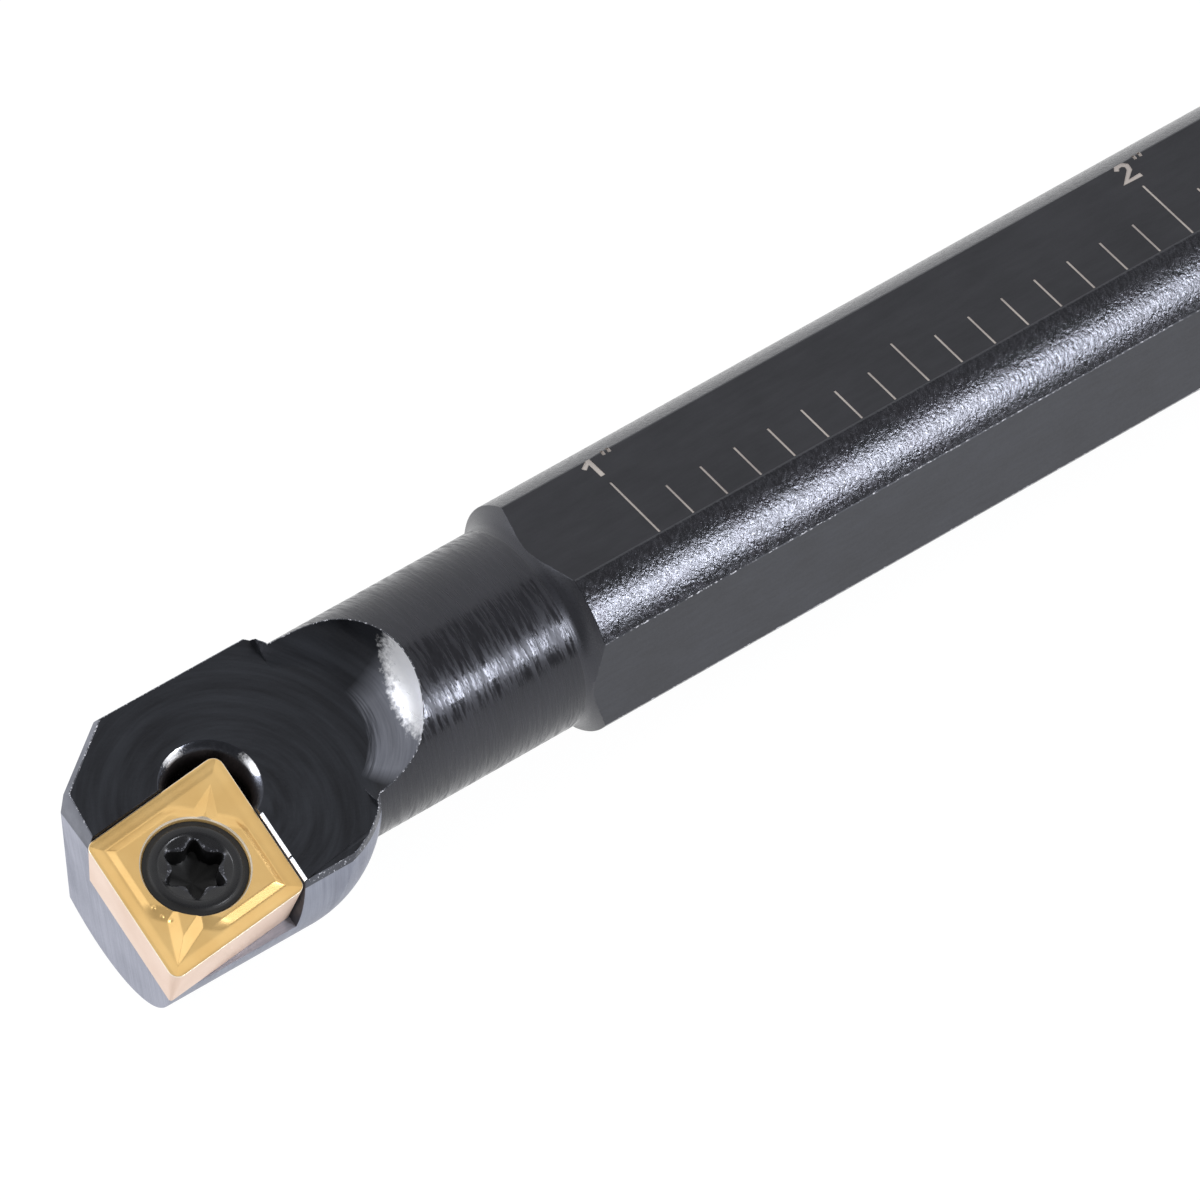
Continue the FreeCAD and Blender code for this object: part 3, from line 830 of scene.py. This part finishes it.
def insert_contour(inset, corner):
    """The insert's outline, moved in, as points that start at the nose and run anticlockwise."""
    half_angle = math.radians(INSERT_ANGLE / 2)
    along = (INSERT_HALF - inset) / math.sin(half_angle)
    across = (INSERT_HALF - inset) / math.cos(half_angle)
    side = Vector((math.sin(half_angle), math.cos(half_angle)))
    nose_centre = Vector((along - corner / math.sin(half_angle), 0))
    wide_centre = Vector((0, across - corner / math.cos(half_angle)))
    side_angle = math.degrees(math.atan2(side.y, side.x))
    quarter = arc(nose_centre, corner, 0, side_angle, ARC_SHARE)
    start, end = nose_centre + side * corner, wide_centre + side * corner
    straight = QUARTER - 2 * ARC_SHARE
    quarter += [tuple(start.lerp(end, step / straight)) for step in range(1, straight)]
    quarter += arc(wide_centre, corner, side_angle, 90, ARC_SHARE)
    points = list(quarter[:-1])
    points += [(-x, y) for x, y in reversed(quarter[1:])]
    points += [(-x, -y) for x, y in quarter[:-1]]
    points += [(x, -y) for x, y in reversed(quarter[1:])]
    return points


def make_insert():
    rings, slots = [], []

    def add(ring, slot):
        rings.append(ring)
        slots.append(slot)

    # From the hole's foot, across the bottom, up the flanks and over the top to the countersink
    steps = 4 * QUARTER
    low = -INSERT_THICK
    foot_inset = INSERT_THICK * FLANK_SLOPE

    def circle(radius, height, like):
        ring = []
        for x, y in like:
            away = math.atan2(y, x)
            ring.append((radius * math.cos(away), radius * math.sin(away), height))
        return ring

    inner = insert_contour(1.0, 0.1)
    add(circle(INSERT_HOLE, low + 0.05, inner), 1)
    add(circle(INSERT_HOLE + 0.05, low, inner), 1)
    add([(x, y, low) for x, y in insert_contour(foot_inset + 0.05, 0.09)], 1)
    add([(x, y, low + 0.04) for x, y in insert_contour(foot_inset - 0.005, 0.11)], 1)
    for share in (0.75, 0.5, 0.25):
        add([(x, y, -INSERT_THICK * share)
             for x, y in insert_contour(foot_inset * share, INSERT_CORNER - foot_inset * share)], 1)
    # The two rings at the top edge take the painted highlight.
    add([(x, y, -0.055) for x, y in insert_contour(0.007, INSERT_CORNER)], 2)
    add([(x, y, -0.012) for x, y in insert_contour(0.008, INSERT_CORNER)], 2)
    for inset in [0.03] + [0.05 + 0.03 * step for step in range(INSERT_RINGS)]:
        corner = max(0.08, INSERT_CORNER - inset)
        add([(x, y, insert_height(x, y)) for x, y in insert_contour(inset, corner)], 0)
    outer = insert_contour(1.0, 0.08)
    rim = circle(SINK_RADIUS + 0.03, 0, outer)
    for step in range(1, ISLAND_RINGS + 1):
        share = step / ISLAND_RINGS
        ring = []
        for (ox, oy), (rx, ry, _) in zip(outer, rim):
            x, y = ox + (rx - ox) * share, oy + (ry - oy) * share
            ring.append((x, y, insert_height(x, y)))
        add(ring, 2 if step == ISLAND_RINGS else 0)
    # The countersink's rim, from the island's last ring down, takes the painted highlight.
    add(circle(SINK_RADIUS, -0.015, inner), 2)
    add(circle(SINK_RADIUS - 0.02, -0.02 / SINK_SLOPE, inner), 0)
    neck = -(SINK_RADIUS - INSERT_HOLE) / SINK_SLOPE
    halfway = 0.35
    add(circle(INSERT_HOLE + halfway, -(SINK_RADIUS - INSERT_HOLE - halfway) / SINK_SLOPE, inner), 0)
    add(circle(INSERT_HOLE, neck, inner), 0)
    add(circle(INSERT_HOLE, low + 0.05, inner), 0)
    points = [ON_INSERT @ Vector(point) for ring in rings for point in ring]
    faces = rings_to_faces(len(rings), steps, False, False)
    face_slots = [slots[ring] for ring in range(len(rings) - 1) for _ in range(steps)]
    insert = from_faces("insert", points, faces, [GOLD, GOLD_FLANK, GOLD_EDGE_HIGHLIGHT], face_slots)
    solid = bmesh.new()
    solid.from_mesh(insert.data)
    bmesh.ops.remove_doubles(solid, verts=solid.verts, dist=0.0005)
    bmesh.ops.recalc_face_normals(solid, faces=solid.faces)
    solid.to_mesh(insert.data)
    solid.free()
    smooth(insert, sharp_angle=60)
    return insert


# The screw, with its axis along Z and the top of its head at height zero

SCREW_STEPS = 240
SCREW_CORE = 1.25
SCREW_GAP = 0.01
SCREW_FOOT = -5.98
LOBES = 6
RECESS_TURN = 12.0
THREAD_PITCH = 0.45
THREAD_DEPTH = 0.26
THREAD_SHARPNESS = 2.3
THREAD_END = -5.75
THREAD_RINGS = 72
# The thread fades in and out over so many rings
THREAD_FADE = 6


def lobed(angle, scale):
    """The six-lobed outline of the recess: narrow lobes between wide hollows."""
    swing = math.cos(LOBES * (angle - math.radians(RECESS_TURN)))
    return scale * (1.0 + 0.18 * swing + 0.04 * swing * swing)


def make_screw():
    steps = SCREW_STEPS
    rings = []

    def add(radius, height, lobe_share=0.0):
        """A ring between a circle and the lobed outline."""
        ring = []
        for step in range(steps):
            angle = TAU * step / steps
            reach = radius * (1 - lobe_share) + lobe_share * lobed(angle, radius)
            ring.append((reach * math.cos(angle), reach * math.sin(angle), height))
        rings.append(ring)

    for radius, height, share in (
            (0.01, -1.28, 0), (0.4, -1.22, 0.4), (0.9, -1.10, 1), (1.0, -1.04, 1), (1.0, -0.60, 1),
            (1.0, -0.20, 1), (1.02, -0.15, 1), (1.14, -0.10, 0.6), (1.36, -0.06, 0),
            (1.40, -0.02, 0), (1.43, -0.004, 0), (1.50, 0.0, 0), (1.62, 0.0, 0), (1.69, -0.010, 0),
            (1.75, -0.035, 0), (1.80, -0.075, 0), (1.86, -0.10, 0), (1.97, -0.105, 0), (1.99, -0.115, 0),
            (1.98, -0.14, 0)):
        add(radius, height, share)
    head_rings = len(rings)
    core = SCREW_CORE
    rim = SINK_RADIUS - SCREW_GAP / math.cos(math.radians(SINK_ANGLE / 2))
    foot = -(rim - core) / SINK_SLOPE
    add(core + 0.02, foot + 0.02)
    add(core - 0.02, foot - 0.05)
    start = foot - 0.35
    for index in range(THREAD_RINGS + 1):
        height = start + (THREAD_END - start) * index / THREAD_RINGS
        fade = ease(index / THREAD_FADE) * ease((THREAD_RINGS - index) / THREAD_FADE)
        ring = []
        for step in range(steps):
            angle = TAU * step / steps
            phase = (height / THREAD_PITCH + step / steps) % 1.0
            notch = max(0.0, 1 - abs(phase - 0.5) * THREAD_SHARPNESS)
            reach = core - 0.01 - THREAD_DEPTH * notch * fade
            ring.append((reach * math.cos(angle), reach * math.sin(angle), height))
        rings.append(ring)
    add(core - 0.3, SCREW_FOOT)
    points = [ON_INSERT @ Vector(point) for ring in rings for point in ring]
    faces = rings_to_faces(len(rings), steps, True, True)
    # The recess and the edge round the face are darker as painted shade, and the recess's own edge is worn
    painted_shade_rings = (*range(6), *range(14, head_rings))
    worn_ring = 6
    kinds = [1 if ring in painted_shade_rings else 2 if ring == worn_ring else 0 for ring in range(len(rings) - 1)]
    slots = [kind for kind in kinds for _ in range(steps)] + [1, 0]
    screw = from_faces("screw", points, faces, [SCREW_BLACK, PAINTED_SHADE_BLACK, RECESS_EDGE], slots)
    smooth(screw, sharp_angle=50)
    return screw


place(make_bar(), "bar_body", "bar", slot="black_steel")
place(make_insert(), "insert_body", "insert", slot="coated_carbide")
place(make_screw(), "clamp_screw", "insert_screw", slot="screw_steel")


# Floor, light and camera, in metres

FLOOR_GAP = 0.00002
FLOOR_LEVEL = cad_box[0].z - FLOOR_GAP
FLOOR_HALF = 3.0
LIGHT_AIM = (0.135, 0.0, 0.0)
LIGHT_DISTANCE = 0.45
LIGHT_TINT = (0.92, 0.94, 1.0)
CAMERA_PLACE = (0.313754, 0.253729, 0.353587)
# The lens in pixels of the photograph, and the photograph's side
LENS_PIXELS = 12567
PHOTO_PIXELS = 1200
SENSOR_MM = 36.0


def make_floor():
    corners = [(x, y, FLOOR_LEVEL) for x, y in ((-FLOOR_HALF, -FLOOR_HALF), (FLOOR_HALF, -FLOOR_HALF),
                                                (FLOOR_HALF, FLOOR_HALF), (-FLOOR_HALF, FLOOR_HALF))]
    mesh = bpy.data.meshes.new("floor")
    mesh.from_pydata(corners, [], [(0, 1, 2, 3)])
    graph = Graph("pale_floor")
    tree = graph.tree
    sight = graph.add("LightPath").outputs
    shiny = graph.math("MAXIMUM", sight["Is Glossy Ray"], sight["Is Transmission Ray"])
    seen = graph.math("MAXIMUM", sight["Is Camera Ray"], shiny)
    matte = graph.add("BsdfDiffuse", {"Color": (0.80, 0.80, 0.80, 1)})
    faint = graph.add("BsdfDiffuse", {"Color": (0.12, 0.12, 0.12, 1)})
    glow = graph.add("Emission", {"Color": (1, 1, 1, 1), "Strength": 0.94})
    shown = graph.add("AddShader", {0: faint.outputs[0], 1: glow.outputs[0]})
    mix = graph.add("MixShader", {0: seen, 1: matte.outputs[0], 2: shown.outputs[0]})
    tree.links.new(mix.outputs[0], tree.nodes["Material Output"].inputs["Surface"])
    tree.nodes.remove(graph.shader)
    new_object("floor", mesh, graph.material)


def make_world():
    """White to the camera; reflections show a white back and a dim side, and matter gets a softer light."""
    world = bpy.data.worlds.new("studio")
    bpy.context.scene.world = world
    world.use_nodes = True
    tree = world.node_tree

    def add(kind, inputs, **settings):
        node = tree.nodes.new("ShaderNode" + kind)
        for key, value in settings.items():
            setattr(node, key, value)
        for key, value in inputs.items():
            if isinstance(value, bpy.types.NodeSocket):
                tree.links.new(value, node.inputs[key])
            else:
                node.inputs[key].default_value = value
        return node.outputs[0]

    sight = tree.nodes.new("ShaderNodeLightPath").outputs
    towards = tree.nodes.new("ShaderNodeTexCoord").outputs["Generated"]
    parts = tree.nodes.new("ShaderNodeSeparateXYZ")
    tree.links.new(towards, parts.inputs[0])
    mirrored = add("MapRange", {"Value": parts.outputs["Y"], "From Min": -0.16, "From Max": -0.05,
                                "To Min": 1.0, "To Max": 0.30}, interpolation_type="SMOOTHSTEP")
    inward = add("MapRange", {"Value": parts.outputs["X"], "From Min": -0.62, "From Max": -0.50,
                              "To Min": 1.0, "To Max": 0.0}, interpolation_type="SMOOTHSTEP")
    mirrored = add("Math", {0: mirrored, 1: inward}, operation="MAXIMUM")
    shiny = add("Math", {0: sight["Is Glossy Ray"], 1: sight["Is Transmission Ray"]}, operation="MAXIMUM")
    for_matter = add("MapRange", {"Value": sight["Is Camera Ray"], "To Min": 0.60, "To Max": 1.0})
    strength = add("MapRange", {"Value": shiny, "To Min": for_matter, "To Max": mirrored})
    back = tree.nodes["Background"]
    tree.links.new(strength, back.inputs["Strength"])
    back.inputs["Color"].default_value = (1, 1, 1, 1)


def softbox(name, direction, width, height, power):
    """A soft rectangular lamp that faces the head."""
    data = bpy.data.lights.new(name, "AREA")
    data.shape = "RECTANGLE"
    data.size = width
    data.size_y = height
    data.energy = power
    lamp = bpy.data.objects.new(name, data)
    bpy.context.scene.collection.objects.link(lamp)
    away = Vector(direction).normalized()
    lamp.location = Vector(LIGHT_AIM) + away * LIGHT_DISTANCE
    lamp.rotation_mode = "QUATERNION"
    lamp.rotation_quaternion = (-away).to_track_quat("-Z", "Y")
    lamp.visible_camera = False
    data.color = LIGHT_TINT


def make_camera():
    """The photograph's camera: its axes as rows, its place and its long lens."""
    right = Vector((-0.80225332, 0.59693457, -0.00766345))
    down = Vector((0.45077984, 0.59731198, -0.66333697))
    ahead = Vector((-0.3913913, -0.53561881, -0.74828159))
    data = bpy.data.cameras.new("camera")
    data.sensor_width = SENSOR_MM
    data.lens = SENSOR_MM * LENS_PIXELS / PHOTO_PIXELS
    data.clip_start = 0.01
    data.clip_end = 20.0
    camera = bpy.data.objects.new("camera", data)
    bpy.context.scene.collection.objects.link(camera)
    turned = Matrix((right, -down, -ahead)).transposed().to_4x4()
    camera.matrix_world = Matrix.Translation(CAMERA_PLACE) @ turned
    bpy.context.scene.camera = camera


make_floor()
make_world()
softbox("side_softbox", (-0.39, 0.80, 0.47), 0.07, 0.13, 1.0)
softbox("front_softbox", (0.70, -0.50, 0.45), 0.14, 0.16, 1.0)
make_camera()
bpy.context.scene.view_settings.view_transform = "Standard"
